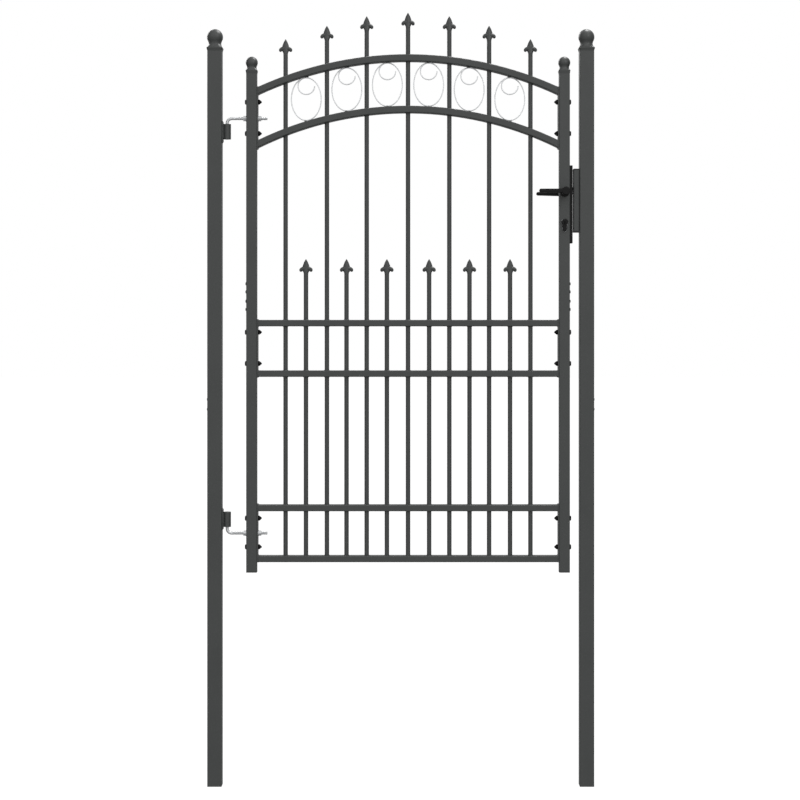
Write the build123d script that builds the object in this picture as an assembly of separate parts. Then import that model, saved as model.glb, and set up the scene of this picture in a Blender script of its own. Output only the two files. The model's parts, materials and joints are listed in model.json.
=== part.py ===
"""Steel garden gate: a leaf with two arched rails, hung on two posts, with a mortice lock.

Millimetres. X runs from the hinge post to the lock post, Y away from the outer side, Z up.
The origin is at ground level, midway between the posts, on the posts' centre plane.
"""

from build123d import *
import math
import os

os.makedirs("parts", exist_ok=True)

# ---- driving dimensions ---------------------------------------------------------------

TUBE_WALL = 1.5
POST_WIDTH = 38.0
POST_SPACING = 984.6  # between post centre lines
POST_TOP = 1945.6  # top of the tube, under its cap
POST_JOINT = 1010.0
POST_SLEEVE_HALF = 80.0
POST_CAP = (43.2, 1953.8, 15.6, 21.2, 2004.2)  # rim width and top, neck and ball radius, top

STILE_WIDTH = 28.0
HINGE_STILE_X = -394.8
LOCK_STILE_X = 433.5
STILE_FOOT = 567.6
STILE_TOP = 1886.0
STILE_JOINT = 1295.6
STILE_SLEEVE_HALF = 72.0
STILE_CAP = (31.0, 1894.6, 11.5, 16.0, 1931.4)

RAIL_HEIGHT = 17.0
RAIL_DEPTH = 28.0
BASE_RAILS = (592.5, 727.2)  # undersides
MIDDLE_RAILS = (1082.7, 1216.5)
ARCH_HEIGHT = 18.0
UPPER_ARCH = (958.0, 1936.3)  # top radius, height of the crown
LOWER_ARCH = (915.0, 1800.1)
END_PLATE = 3.0
END_PLATE_WIDTH = 26.0
END_PLATE_PROUD = 2.0  # above and below the rails

PICKET_RADIUS = 6.0
PICKET_HOLE = 6.2
LONG_OFFSETS = (-324.5, -215.0, -109.5, 0.0, 109.5, 215.0, 324.5)  # from the leaf's middle
LONG_TIPS = {0.0: 2047.6, 109.5: 2038.2, 215.0: 2013.0, 324.5: 1977.5}
SHORT_OFFSETS = (-270.5, -163.0, -56.0, 56.0, 163.0, 270.5)
SHORT_TIP = 1394.5
HEAD_LENGTH = 38.0
HEAD_THICKNESS = 9.0

RING_HALF_WIDTH = 41.0
RING_BAR = 3.0
RING_DEPTH = 6.0
RING_GAP = 0.4  # between a ring and the arches
CURL_RADIUS = 23.5

BOLT_RADIUS = 4.0  # M8 throughout
BOLT_HOLE = 4.25
NUT_FLATS = 13.0
HEX_TURN = 0.0  # turns a hexagon so that its flats are above and below
PANEL_BOLTS = (632.0, 708.0, 1118.0, 1201.0, 1727.5, 1811.0)
DOME_RADIUS = 6.8
DOME_HEIGHT = 4.2
CAP_NUT_LENGTH = 9.8
CAP_NUT_HEX = 3.6

PIVOT_X = -460.0
PIN_CLEARANCE = 0.08
BARREL_RADIUS = 10.0
UPPER_BARREL = (1712.5, 1752.3)
LOWER_BARREL = (685.2, 725.0)
UPPER_LEG = 1767.2  # height of the hinge bolts' level legs
LOWER_LEG = 668.3
LEG_BEND = 12.0
LEG_END = -353.4
HINGE_PLATE = 3.0

HANDLE_Z = 1571.5
CYLINDER_Z = 1491.5
FOREND = (1436.6, 1642.6)
FOREND_THICKNESS = 7.2
CASE = (1446.0, 1633.0)
LATCH_THROW = 9.2
DEAD_BOLT = (1506.0, 1526.0)
DEAD_BOLT_WIDTH = 8.0
LATCH_WIDTH = 10.0
BOLT_SLACK = 0.3  # round both bolts where they pass the forend
ROSE_RADIUS = 12.5
ROSE_DEPTH = 7.0
NECK_RADIUS = 8.0
LEVER_INNER = 48.0  # distances of the grip's faces from the leaf's centre plane
LEVER_OUTER = 60.0
LEVER_END = 363.3
LEVER_ROOT_HALF = 5.75  # half heights of the grip
LEVER_TIP_HALF = 4.75
LEVER_TIP_RISE = 0.8
LEVER_BOSS_RADIUS = 11.0
LEVER_BOSS_START = 40.0
SPINDLE = 8.0
HUB_RADIUS = 6.3
PLUG_RADIUS = 6.3
PROFILE_RADIUS = 8.5
PROFILE_HEIGHT = 33.0
CYLINDER_HALF = 20.0
CAM_HALF = 5.0
CAM_RADIUS = 10.6
STRIKE = (1466.0, 1633.0)
STRIKE_FACE_X = 457.2

# ---- worked out from them -------------------------------------------------------------

POST_HALF = POST_WIDTH / 2
POST_X = POST_SPACING / 2
POST_FACE = POST_X - POST_HALF  # inner face of the lock post
STILE_HALF = STILE_WIDTH / 2
LEAF_X = (HINGE_STILE_X + LOCK_STILE_X) / 2
LEAF_LEFT = HINGE_STILE_X - STILE_HALF
LEAF_RIGHT = LOCK_STILE_X + STILE_HALF
PANEL_LEFT = HINGE_STILE_X + STILE_HALF
PANEL_RIGHT = LOCK_STILE_X - STILE_HALF
RAIL_LEFT = PANEL_LEFT + END_PLATE
RAIL_RIGHT = PANEL_RIGHT - END_PLATE
FOREND_FACE_X = LEAF_RIGHT + FOREND_THICKNESS
LATCH = (HANDLE_Z - 5.5, HANDLE_Z + 12.5)
BRIDGE_TOP = CYLINDER_Z - 11.4
FIXING_SCREW_Z = CYLINDER_Z - 18.0


# ---- helpers --------------------------------------------------------------------------


def block(x, y, z):
    """A box between pairs of limits."""
    size = [high - low for low, high in (x, y, z)]
    middle = [(high + low) / 2 for low, high in (x, y, z)]
    return Pos(*middle) * Box(*size)


def rod_x(x0, x1, y, z, radius):
    return Pos((x0 + x1) / 2, y, z) * Rot(0, 90, 0) * Cylinder(radius, x1 - x0)


def rod_y(y0, y1, x, z, radius):
    return Pos(x, (y0 + y1) / 2, z) * Rot(90, 0, 0) * Cylinder(radius, y1 - y0)


def rod_z(z0, z1, x, y, radius):
    return Pos(x, y, (z0 + z1) / 2) * Cylinder(radius, z1 - z0)


def prism_y(outline, y0, y1):
    """A sketch drawn in X and Z, as a solid from y0 to y1."""
    return extrude(Plane.XZ.offset(-y1) * outline, y1 - y0)


def tube_section(width, height, wall=TUBE_WALL, corner=2.2):
    outer = RectangleRounded(width, height, corner)
    return outer - RectangleRounded(width - 2 * wall, height - 2 * wall, corner - wall)


def upright(x, width, z0, z1, wall=TUBE_WALL):
    """A square tube standing on end."""
    return extrude(Pos(x, 0, z0) * tube_section(width, width, wall), z1 - z0)


def hexagon_x(x0, x1, z, flats=NUT_FLATS):
    """A hexagonal bar along X, with a flat above and below."""
    outline = RegularPolygon(flats / 2, 6, major_radius=False, rotation=HEX_TURN)
    return extrude(Plane.YZ.offset(x0) * Pos(0, z) * outline, x1 - x0)


def save(name, *shapes):
    """Writes one node: every solid of the shapes given."""
    solids = [solid for shape in shapes for solid in shape.solids()]
    export_step(Compound(children=solids), f"parts/{name}.step")


def ball_cap(x, tube_width, tube_top, rim_width, rim_top, neck_radius, ball_radius, top):
    """A square rim that narrows to a waist under a ball, with a spigot that sits in the tube."""
    ball_middle = top - ball_radius
    neck_z = ball_middle - math.sqrt(ball_radius**2 - neck_radius**2)
    rim_low = rim_top - 2.2
    under = Pos(x, 0, tube_top) * Rectangle(tube_width + 0.8, tube_width + 0.8)
    rim = Pos(x, 0, rim_low) * Rectangle(rim_width, rim_width)
    cap = loft(Sketch() + [under, rim])
    half = rim_width / 2
    cap += block((x - half, x + half), (-half, half), (rim_low, rim_top))
    shoulder = Pos(x, 0, rim_top) * Rectangle(rim_width - 4, rim_width - 4)
    throat = Pos(x, 0, neck_z) * Circle(neck_radius)
    cap += loft(Sketch() + [shoulder, throat])
    cap += Pos(x, 0, ball_middle) * Sphere(ball_radius)
    spigot = tube_width / 2 - TUBE_WALL - 0.3
    return cap + block((x - spigot, x + spigot), (-spigot, spigot), (tube_top - 18, tube_top + 1))


def button_screw(face_x, outward, z, head_radius, head_height, shank_radius, length):
    """A round-headed screw along X; outward is the side its head stands on."""
    inner = face_x - outward * length
    head_end = face_x + outward * head_height
    head = rod_x(min(face_x, head_end), max(face_x, head_end), 0, z, head_radius)
    rim = head.edges().filter_by(GeomType.CIRCLE).sort_by(Axis.X)[-1 if outward > 0 else 0]
    head = fillet(rim, head_height * 0.7)
    return head + rod_x(min(inner, face_x), max(inner, face_x), 0, z, shank_radius)


# ---- posts ----------------------------------------------------------------------------


def post_parts():
    screw_heights = (POST_JOINT - 13, POST_JOINT + 13)
    sleeves = []
    caps = []
    screws = []
    for side, x in (("left", -POST_X), ("right", POST_X)):
        outward = 1 if x > 0 else -1
        face = x + outward * POST_HALF
        holes = [rod_x(*sorted((face - outward * 5, face + outward)), 0, z, 2.5) for z in screw_heights]
        lower = upright(x, POST_WIDTH, 0, POST_JOINT) - holes[0]
        upper = upright(x, POST_WIDTH, POST_JOINT, POST_TOP) - holes[1]
        if side == "right":
            for z in strike_screw_heights():
                upper -= rod_x(POST_FACE - 1, POST_FACE + 4, 0, z, 2.6)
        save(f"{side}_post_lower", lower)
        save(f"{side}_post_upper", upper)
        sleeve_width = POST_WIDTH - 2 * TUBE_WALL - 0.4
        low, high = POST_JOINT - POST_SLEEVE_HALF, POST_JOINT + POST_SLEEVE_HALF
        sleeve = upright(x, sleeve_width, low, high, 2.0)
        sleeves.append(sleeve - holes)
        caps.append(ball_cap(x, POST_WIDTH, POST_TOP, *POST_CAP))
        for z in screw_heights:
            screws.append(button_screw(face, outward, z, 4.0, 2.5, 2.4, 4.6))
    save("post_sleeves", *sleeves)
    save("post_caps", *caps)
    save("post_screws", *screws)


def hinge_fittings():
    """Plates welded to the hinge post, each with a barrel that a hinge bolt's pin turns in."""
    face = -POST_FACE
    plates = []
    barrels = []
    for low, high in (UPPER_BARREL, LOWER_BARREL):
        plate_low, plate_high = low - 8, high + 8
        plate = block((face, face + HINGE_PLATE), (-13, 13), (plate_low, plate_high))
        ends = plate.edges().filter_by(Axis.Y).group_by(Axis.X)[-1]
        plates.append(chamfer(ends, 2.0))
        barrel = rod_z(low, high, PIVOT_X, 0, BARREL_RADIUS)
        web_left = face + HINGE_PLATE
        barrel += block((web_left, PIVOT_X), (-6.5, 6.5), (low + 2, high - 3))
        barrels.append(barrel - rod_z(low - 1, high + 1, PIVOT_X, 0, BOLT_RADIUS + PIN_CLEARANCE))
    save("hinge_plates", *plates)
    save("hinge_barrels", *barrels)


def strike_screw_heights():
    return STRIKE[0] + 14, STRIKE[1] - 14


def strike():
    """A folded box on the lock post, open towards the post, that the two bolts enter."""
    sheet = 2.0
    face = (STRIKE_FACE_X, STRIKE_FACE_X + sheet)
    shell = block((STRIKE_FACE_X, POST_FACE), (-15, 15), STRIKE)
    corners = shell.edges().filter_by(Axis.Z).group_by(Axis.X)[0]
    shell = fillet(corners, 2.5)
    room = (STRIKE[0] + sheet, STRIKE[1] - sheet)
    shell -= block((face[1], POST_FACE + 1), (-15 + sheet, 15 - sheet), room)
    through = (STRIKE_FACE_X - 1, face[1] + 1)
    shell -= block(through, (-8, 8), (LATCH[0] - 6, LATCH[1] + 6))
    shell -= block(through, (-7, 7), (DEAD_BOLT[0] - 4, DEAD_BOLT[1] + 4))
    screws = []
    for z in strike_screw_heights():
        boss = rod_x(face[1] - 0.5, POST_FACE, 0, z, 6.0)
        shell += boss
        shell -= rod_x(STRIKE_FACE_X - 1, POST_FACE + 1, 0, z, 2.6)
        shell -= rod_x(STRIKE_FACE_X - 1, STRIKE_FACE_X + 3, 0, z, 5.0)
        head = rod_x(STRIKE_FACE_X + 0.4, STRIKE_FACE_X + 3, 0, z, 4.7)
        shank = rod_x(STRIKE_FACE_X + 2, POST_FACE + 6, 0, z, 2.5)
        socket = hexagon_x(STRIKE_FACE_X, STRIKE_FACE_X + 2, z, 3.0)
        screws.append(head + shank - socket)
    save("strike_box", shell)
    save("strike_screws", *screws)


# ---- leaf: stiles ---------------------------------------------------------------------


def stile_screw_heights():
    return tuple(STILE_JOINT + offset for offset in (-34.1, -12.5, 12.4, 33.7))


def stile_bolt_holes(x, hinge_side):
    """Holes across a stile for the panel bolts, and on the hinge side for the hinge bolts."""
    heights = PANEL_BOLTS + ((UPPER_LEG, LOWER_LEG) if hinge_side else ())
    return [rod_x(x - STILE_WIDTH, x + STILE_WIDTH, 0, z, BOLT_HOLE) for z in heights]


def stile_parts():
    sleeves = []
    caps = []
    plugs = []
    screws = []
    for side, x in (("hinge", HINGE_STILE_X), ("lock", LOCK_STILE_X)):
        outward = -1 if side == "hinge" else 1
        face = x + outward * STILE_HALF
        screw_holes = [
            rod_x(*sorted((face - outward * 5, face + outward)), 0, z, 2.2) for z in stile_screw_heights()
        ]
        holes = stile_bolt_holes(x, side == "hinge") + screw_holes
        lower = upright(x, STILE_WIDTH, STILE_FOOT, STILE_JOINT) - holes
        upper = upright(x, STILE_WIDTH, STILE_JOINT, STILE_TOP) - holes
        if side == "lock":
            upper -= lock_cutouts()
        save(f"{side}_stile_lower", lower)
        save(f"{side}_stile_upper", upper)
        low, high = STILE_JOINT - STILE_SLEEVE_HALF, STILE_JOINT + STILE_SLEEVE_HALF
        sleeve = upright(x, STILE_WIDTH - 2 * TUBE_WALL - 0.4, low, high, 2.0)
        sleeves.append(sleeve - screw_holes)
        caps.append(ball_cap(x, STILE_WIDTH, STILE_TOP, *STILE_CAP))
        across = (-STILE_HALF, STILE_HALF)
        plug = Pos(x, 0, 0) * block(across, across, (STILE_FOOT - 2.5, STILE_FOOT))
        plug = fillet(plug.edges().filter_by(Axis.Z), 2.2)
        plug += block((x - 12.2, x + 12.2), (-12.2, 12.2), (STILE_FOOT, STILE_FOOT + 16))
        plugs.append(plug)
        for z in stile_screw_heights():
            screws.append(button_screw(face, outward, z, 4.3, 2.8, 2.0, 4.6))
    save("stile_sleeves", *sleeves)
    save("stile_caps", *caps)
    save("stile_end_plugs", *plugs)
    save("stile_screws", *screws)


# ---- leaf: panels ---------------------------------------------------------------------


def arch_height(arch, offset, drop=0.0):
    """Height of an arched rail's top face, or a concentric line below it, off the middle."""
    radius, crown = arch
    return crown - radius + math.sqrt((radius - drop) ** 2 - offset**2)


def picket_holes(low, high, offsets):
    return [rod_z(low, high, LEAF_X + offset, 0, PICKET_HOLE) for offset in offsets]


def arched_rail(arch):
    radius, crown = arch
    centre = crown - radius
    section = Plane.YZ * Pos(0, crown - ARCH_HEIGHT / 2) * tube_section(RAIL_DEPTH, ARCH_HEIGHT)
    sweep_angle = 60
    axis = Axis((0, 0, centre), (0, 1, 0))
    bent = revolve(section, axis, sweep_angle).rotate(axis, -sweep_angle / 2)
    bent = Pos(LEAF_X, 0, 0) * bent
    trimmed = bent & block((RAIL_LEFT, RAIL_RIGHT), (-20, 20), (crown - 200, crown + 10))
    return trimmed - picket_holes(crown - 200, crown + 10, LONG_OFFSETS)


def straight_rail(underside, offsets, hole_from=-1.0):
    middle = Pos(0, underside + RAIL_HEIGHT / 2)
    section = Plane.YZ.offset(RAIL_LEFT) * middle * tube_section(RAIL_DEPTH, RAIL_HEIGHT)
    rail = extrude(section, RAIL_RIGHT - RAIL_LEFT)
    return rail - picket_holes(underside + hole_from, underside + RAIL_HEIGHT + 1, offsets)


def rails():
    every_offset = LONG_OFFSETS + SHORT_OFFSETS
    save("upper_arch", arched_rail(UPPER_ARCH))
    save("lower_arch", arched_rail(LOWER_ARCH))
    save("middle_rail_top", straight_rail(MIDDLE_RAILS[1], every_offset))
    save("middle_rail_bottom", straight_rail(MIDDLE_RAILS[0], every_offset))
    save("base_rail_top", straight_rail(BASE_RAILS[1], every_offset))
    save("base_rail_bottom", straight_rail(BASE_RAILS[0], every_offset, hole_from=RAIL_HEIGHT / 2))


def end_plates():
    """Flat bars welded across the rail ends of each panel and bolted to the stiles."""
    end_offset = PANEL_RIGHT - LEAF_X
    spans = (
        (BASE_RAILS[0], BASE_RAILS[1] + RAIL_HEIGHT + END_PLATE_PROUD),
        (MIDDLE_RAILS[0] - END_PLATE_PROUD, MIDDLE_RAILS[1] + RAIL_HEIGHT + END_PLATE_PROUD),
        (
            arch_height(LOWER_ARCH, end_offset, ARCH_HEIGHT) - END_PLATE_PROUD,
            arch_height(UPPER_ARCH, end_offset) + END_PLATE_PROUD,
        ),
    )
    sides = (("hinge", PANEL_LEFT, HINGE_STILE_X), ("lock", PANEL_RIGHT - END_PLATE, LOCK_STILE_X))
    for side, x, stile in sides:
        plates = []
        for low, high in spans:
            plate = block((x, x + END_PLATE), (-END_PLATE_WIDTH / 2, END_PLATE_WIDTH / 2), (low, high))
            plates.append(plate - stile_bolt_holes(stile, side == "hinge"))
        save(f"{side}_side_end_plates", *plates)


def spear_head(x, tip):
    """A leaf-shaped blade over two drooping wings, with a socket for the picket."""
    edge = [(2.8, -5.6), (5.6, -10.9), (7.4, -14.9), (8.3, -18.2)]
    wing = [(12.3, -20.2), (14.9, -22.9), (16.4, -25.5), (17.0, -28.2), (16.4, -30.4), (14.6, -31.5)]
    throat = [(12.4, -31.2), (10.2, -29.8), (9.0, -31.5), (7.2, -33.6), (6.3, -36.0), (6.2, -37.0)]
    right = edge + wing + throat
    left = [(-a, b) for a, b in reversed(right)]
    blade = make_face(Polyline((0, 0), *right, *left, (0, 0)))
    half = HEAD_THICKNESS / 2
    head = prism_y(Pos(x, tip) * blade, -half, half)
    return head + rod_z(tip - HEAD_LENGTH, tip - 29, x, 0, PICKET_RADIUS + 0.5)


def pickets():
    foot = BASE_RAILS[0] + TUBE_WALL + 0.5
    groups = (("long", LONG_OFFSETS), ("short", SHORT_OFFSETS))
    for kind, offsets in groups:
        heads = []
        for number, offset in enumerate(offsets, 1):
            tip = LONG_TIPS[abs(offset)] if kind == "long" else SHORT_TIP
            x = LEAF_X + offset
            save(f"{kind}_picket_{number}", rod_z(foot, tip - HEAD_LENGTH, x, 0, PICKET_RADIUS))
            heads.append(spear_head(x, tip))
        save(f"{kind}_spear_heads", *heads)


def scroll_ring(offset):
    """An upright oval that touches both arches, with a curl hanging inside its top."""
    roof = arch_height(UPPER_ARCH, offset, ARCH_HEIGHT)
    floor = arch_height(LOWER_ARCH, offset)
    slope = offset / math.sqrt((UPPER_ARCH[0] - ARCH_HEIGHT) ** 2 - offset**2)
    reach = (roof - floor) / 2 - RING_GAP * math.sqrt(1 + slope**2)
    half_height = math.sqrt(reach**2 - (slope * RING_HALF_WIDTH) ** 2)
    oval = Ellipse(RING_HALF_WIDTH, half_height)
    oval -= Ellipse(RING_HALF_WIDTH - RING_BAR, half_height - RING_BAR)
    curl = Circle(CURL_RADIUS) - Circle(CURL_RADIUS - RING_BAR)
    curl -= Pos(CURL_RADIUS, CURL_RADIUS) * Rectangle(2 * CURL_RADIUS - 6, 2 * CURL_RADIUS)
    outline = oval + Pos(0, half_height - CURL_RADIUS) * curl
    place = Pos(LEAF_X + offset, (roof + floor) / 2)
    return prism_y(place * outline, -RING_DEPTH / 2, RING_DEPTH / 2)


def scroll_rings():
    bays = zip(LONG_OFFSETS[:-1], LONG_OFFSETS[1:])
    save("scroll_rings", *[scroll_ring((left + right) / 2) for left, right in bays])


def panel_fasteners():
    """Dome-headed bolts from outside each stile, with cap nuts against the end plates."""
    bolts = []
    nuts = []
    sides = ((LEAF_LEFT, -1, RAIL_LEFT), (LEAF_RIGHT, 1, RAIL_RIGHT))
    for face, outward, nut_face in sides:
        shank_length = abs(face - nut_face) + CAP_NUT_HEX + 0.8
        for z in PANEL_BOLTS:
            bolts.append(
                button_screw(face, outward, z, DOME_RADIUS, DOME_HEIGHT, BOLT_RADIUS, shank_length)
            )
            hex_end = nut_face - outward * CAP_NUT_HEX
            nut = hexagon_x(*sorted((nut_face, hex_end)), z)
            dome_length = CAP_NUT_LENGTH - CAP_NUT_HEX
            dome = Cone(6.4, 1.4, dome_length)
            dome = Pos(hex_end - outward * dome_length / 2, 0, z) * Rot(0, -90 * outward, 0) * dome
            nut += dome
            bore_end = nut_face - outward * (CAP_NUT_HEX + 1.4)
            nut -= rod_x(*sorted((nut_face, bore_end)), 0, z, BOLT_RADIUS + 0.1)
            nuts.append(nut)
    save("panel_bolts", *bolts)
    save("panel_cap_nuts", *nuts)


def hinge_bolt(leg_z, pin_end):
    """A rod with an upright pin and a level leg, joined by one tight bend."""
    path = FilletPolyline((PIVOT_X, 0, pin_end), (PIVOT_X, 0, leg_z), (LEG_END, 0, leg_z), radius=LEG_BEND)
    return sweep(Plane(origin=path @ 0, z_dir=path % 0) * Circle(BOLT_RADIUS), path)


def hinge_hardware():
    save("upper_hinge_bolt", hinge_bolt(UPPER_LEG, UPPER_BARREL[0] + 1))
    save("lower_hinge_bolt", hinge_bolt(LOWER_LEG, LOWER_BARREL[1] - 1))
    washer, nut = 1.6, 6.5
    nuts = []
    washers = []
    for z in (UPPER_LEG, LOWER_LEG):
        for face, side in ((LEAF_LEFT, -1), (RAIL_LEFT, 1)):
            bore = rod_x(face - 20, face + 20, 0, z, BOLT_RADIUS + 0.15)
            ring = rod_x(*sorted((face, face + side * washer)), 0, z, 8.0)
            washers.append(ring - bore)
            nut_span = sorted((face + side * washer, face + side * (washer + nut)))
            nuts.append(hexagon_x(*nut_span, z) - bore)
    save("hinge_nuts", *nuts)
    save("hinge_washers", *washers)


# ---- lock -----------------------------------------------------------------------------

def profile_outline(grow=0.0):
    """The lock cylinder's section: a round barrel over a narrow, round-ended tail."""
    tail = 5.0
    tail_middle = CYLINDER_Z + PROFILE_RADIUS - PROFILE_HEIGHT + tail
    outline = Pos(LOCK_STILE_X, CYLINDER_Z) * Circle(PROFILE_RADIUS + grow)
    outline += Pos(LOCK_STILE_X, tail_middle) * Circle(tail + grow)
    height = CYLINDER_Z - tail_middle
    outline += Pos(LOCK_STILE_X, tail_middle + height / 2) * Rectangle(2 * (tail + grow), height)
    return outline


def lock_cutouts():
    """What is cut from the lock stile: the case's slot, and the holes for spindle and cylinder."""
    slot = block((LEAF_RIGHT - 3, LEAF_RIGHT + 1), (-11, 11), (CASE[0] - 1, CASE[1] + 1))
    spindle = rod_y(-20, 20, LOCK_STILE_X, HANDLE_Z, NECK_RADIUS + 0.5)
    cylinder = prism_y(profile_outline(1.2), -20, 20)
    screws = [rod_x(LEAF_RIGHT - 4, LEAF_RIGHT + 1, 0, z, 2.3) for z in forend_screw_heights()]
    return [slot, spindle, cylinder, *screws]


def forend_screw_heights():
    return FOREND[0] + 5, FOREND[1] - 5


def forend():
    outer = FOREND_FACE_X
    plate = block((LEAF_RIGHT, outer), (-12, 12), FOREND)
    plate = fillet(plate.edges().filter_by(Axis.X), 3.0)
    through = (LEAF_RIGHT - 1, outer + 1)
    for width, (low, high) in ((LATCH_WIDTH, LATCH), (DEAD_BOLT_WIDTH, DEAD_BOLT)):
        half = width / 2 + BOLT_SLACK
        plate -= block(through, (-half, half), (low - BOLT_SLACK, high + BOLT_SLACK))
    screws = []
    lengths = {z: 8.0 for z in forend_screw_heights()}
    lengths[FIXING_SCREW_Z] = outer - LOCK_STILE_X + 8
    for z, length in lengths.items():
        plate -= rod_x(*through, 0, z, 2.3)
        plate -= rod_x(outer - 2.2, outer + 1, 0, z, 3.9)
        screw = rod_x(outer - 2.1, outer - 0.2, 0, z, 3.7)
        screw += rod_x(outer - length, outer - 1, 0, z, 2.1)
        screws.append(screw - hexagon_x(outer - 1.4, outer, z, 2.5))
    save("lock_forend", plate)
    save("lock_screws", *screws)


def case():
    wall = 1.2
    left = LEAF_RIGHT - STILE_WIDTH + TUBE_WALL + 0.1
    shell = block((left, LEAF_RIGHT - 0.1), (-10.5, 10.5), CASE)
    inside = (CASE[0] + wall, CASE[1] - wall)
    shell -= block((left + wall, LEAF_RIGHT + 1), (-10.5 + wall, 10.5 - wall), inside)
    shell -= rod_y(-12, 12, LOCK_STILE_X, HANDLE_Z, HUB_RADIUS + PIN_CLEARANCE)
    shell -= prism_y(profile_outline(0.3), -12, 12)
    save("lock_case", shell)


def cylinder():
    body = prism_y(profile_outline(), -CYLINDER_HALF, CYLINDER_HALF)
    beyond = CYLINDER_HALF + 1
    bore = rod_y(-beyond, beyond, LOCK_STILE_X, CYLINDER_Z, PLUG_RADIUS + PIN_CLEARANCE)
    around = (LOCK_STILE_X - 12, LOCK_STILE_X + 12)
    cam_room = block(around, (-CAM_HALF - 0.4, CAM_HALF + 0.4), (BRIDGE_TOP, CYLINDER_Z + 12))
    fixing = rod_x(LOCK_STILE_X - 10, LOCK_STILE_X + 10, 0, FIXING_SCREW_Z, 2.2)
    save("cylinder_body", body - bore - cam_room - fixing)
    plugs = []
    for side in (-1, 1):
        inner, outer = side * (CAM_HALF + 0.4), side * (CYLINDER_HALF + 0.6)
        plug = rod_y(*sorted((inner, outer)), LOCK_STILE_X, CYLINDER_Z, PLUG_RADIUS)
        mouth = sorted((outer - side * 12, outer + side))
        slot = (LOCK_STILE_X - 0.9, LOCK_STILE_X + 0.9)
        keyway = block(slot, mouth, (CYLINDER_Z - 5.4, CYLINDER_Z + 2.6))
        plugs.append(plug - keyway)
    cam = rod_y(-CAM_HALF, CAM_HALF, LOCK_STILE_X, CYLINDER_Z, 7.4)
    cam += block(
        (LOCK_STILE_X - 1.8, LOCK_STILE_X + 1.8),
        (-CAM_HALF, CAM_HALF),
        (CYLINDER_Z - CAM_RADIUS + 0.2, CYLINDER_Z),
    )
    tie = rod_y(-CAM_HALF - 0.4, CAM_HALF + 0.4, LOCK_STILE_X, CYLINDER_Z, 3.0)
    save("cylinder_plugs", plugs[0], cam + tie, plugs[1])


def bolts():
    """The bevelled latch bolt with its tail over the follower, and the dead bolt drawn back."""
    nose = FOREND_FACE_X + LATCH_THROW + 0.3
    root = nose - 12.6
    half = LATCH_WIDTH / 2
    head = block((root, nose), (-half, half), LATCH)
    heel = (nose - 9, -half)
    bevel = make_face(Polyline(heel, (nose + 1, -half), (nose + 1, half - 0.6), heel))
    head -= extrude(Pos(0, 0, LATCH[0] - 1) * bevel, LATCH[1] - LATCH[0] + 2)
    tail = block((LOCK_STILE_X - 0.5, root + 1), (-half, half), (HANDLE_Z + HUB_RADIUS + 1, LATCH[1]))
    save("latch_bolt", head + tail)
    half = DEAD_BOLT_WIDTH / 2
    save("dead_bolt", block((LOCK_STILE_X - 9.3, FOREND_FACE_X - 0.2), (-half, half), DEAD_BOLT))


def lever(side):
    """A lever handle: a neck and boss on the spindle, and a tapered grip to the hinge side."""
    span = sorted((side * (STILE_HALF + 0.5), side * (LEVER_BOSS_START + 1)))
    neck = rod_y(*span, LOCK_STILE_X, HANDLE_Z, NECK_RADIUS)
    boss_span = sorted((side * LEVER_BOSS_START, side * LEVER_OUTER))
    boss = rod_y(*boss_span, LOCK_STILE_X, HANDLE_Z, LEVER_BOSS_RADIUS)
    neck += fillet(boss.edges().filter_by(GeomType.CIRCLE), 2.5)
    thick_end = Pos(LOCK_STILE_X, HANDLE_Z) * Circle(LEVER_ROOT_HALF)
    tip_middle = Pos(LEVER_END + LEVER_TIP_HALF, HANDLE_Z + LEVER_TIP_RISE)
    outline = make_hull(thick_end.edges() + (tip_middle * Circle(LEVER_TIP_HALF)).edges())
    grip = prism_y(outline, *sorted((side * LEVER_INNER, side * (LEVER_OUTER - 0.5))))
    grip = fillet(grip.faces().filter_by(Axis.Y).edges(), 2.4)
    socket_half = SPINDLE / 2 + 0.1
    socket = block(
        (LOCK_STILE_X - socket_half, LOCK_STILE_X + socket_half),
        sorted((side * STILE_HALF, side * (LEVER_INNER - 6))),
        (HANDLE_Z - socket_half, HANDLE_Z + socket_half),
    )
    return grip + neck - socket


def handle():
    save("outer_lever", lever(-1))
    save("inner_lever", lever(1))
    roses = []
    for side in (-1, 1):
        span = sorted((side * STILE_HALF, side * (STILE_HALF + ROSE_DEPTH)))
        rose = rod_y(*span, LOCK_STILE_X, HANDLE_Z, ROSE_RADIUS)
        rims = rose.edges().filter_by(GeomType.CIRCLE).sort_by(Axis.Y)
        rose = fillet(rims[0] if side < 0 else rims[-1], 2.0)
        roses.append(rose - rod_y(-60, 60, LOCK_STILE_X, HANDLE_Z, NECK_RADIUS + PIN_CLEARANCE))
    save("handle_roses", *roses)
    half = SPINDLE / 2
    hole = half + 0.1
    reach = LEVER_INNER - 8
    spindle = block(
        (LOCK_STILE_X - half, LOCK_STILE_X + half), (-reach, reach), (HANDLE_Z - half, HANDLE_Z + half)
    )
    hub = rod_y(-10.4, 10.4, LOCK_STILE_X, HANDLE_Z, HUB_RADIUS)
    hub -= block((LOCK_STILE_X - hole, LOCK_STILE_X + hole), (-11, 11), (HANDLE_Z - hole, HANDLE_Z + hole))
    save("spindle_and_follower", spindle, hub)


# ---- build ----------------------------------------------------------------------------

post_parts()
hinge_fittings()
strike()
stile_parts()
rails()
end_plates()
pickets()
scroll_rings()
panel_fasteners()
hinge_hardware()
forend()
case()
cylinder()
bolts()
handle()
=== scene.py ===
"""Garden gate: finishes, castings, welds, threads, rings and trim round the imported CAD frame."""

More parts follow.
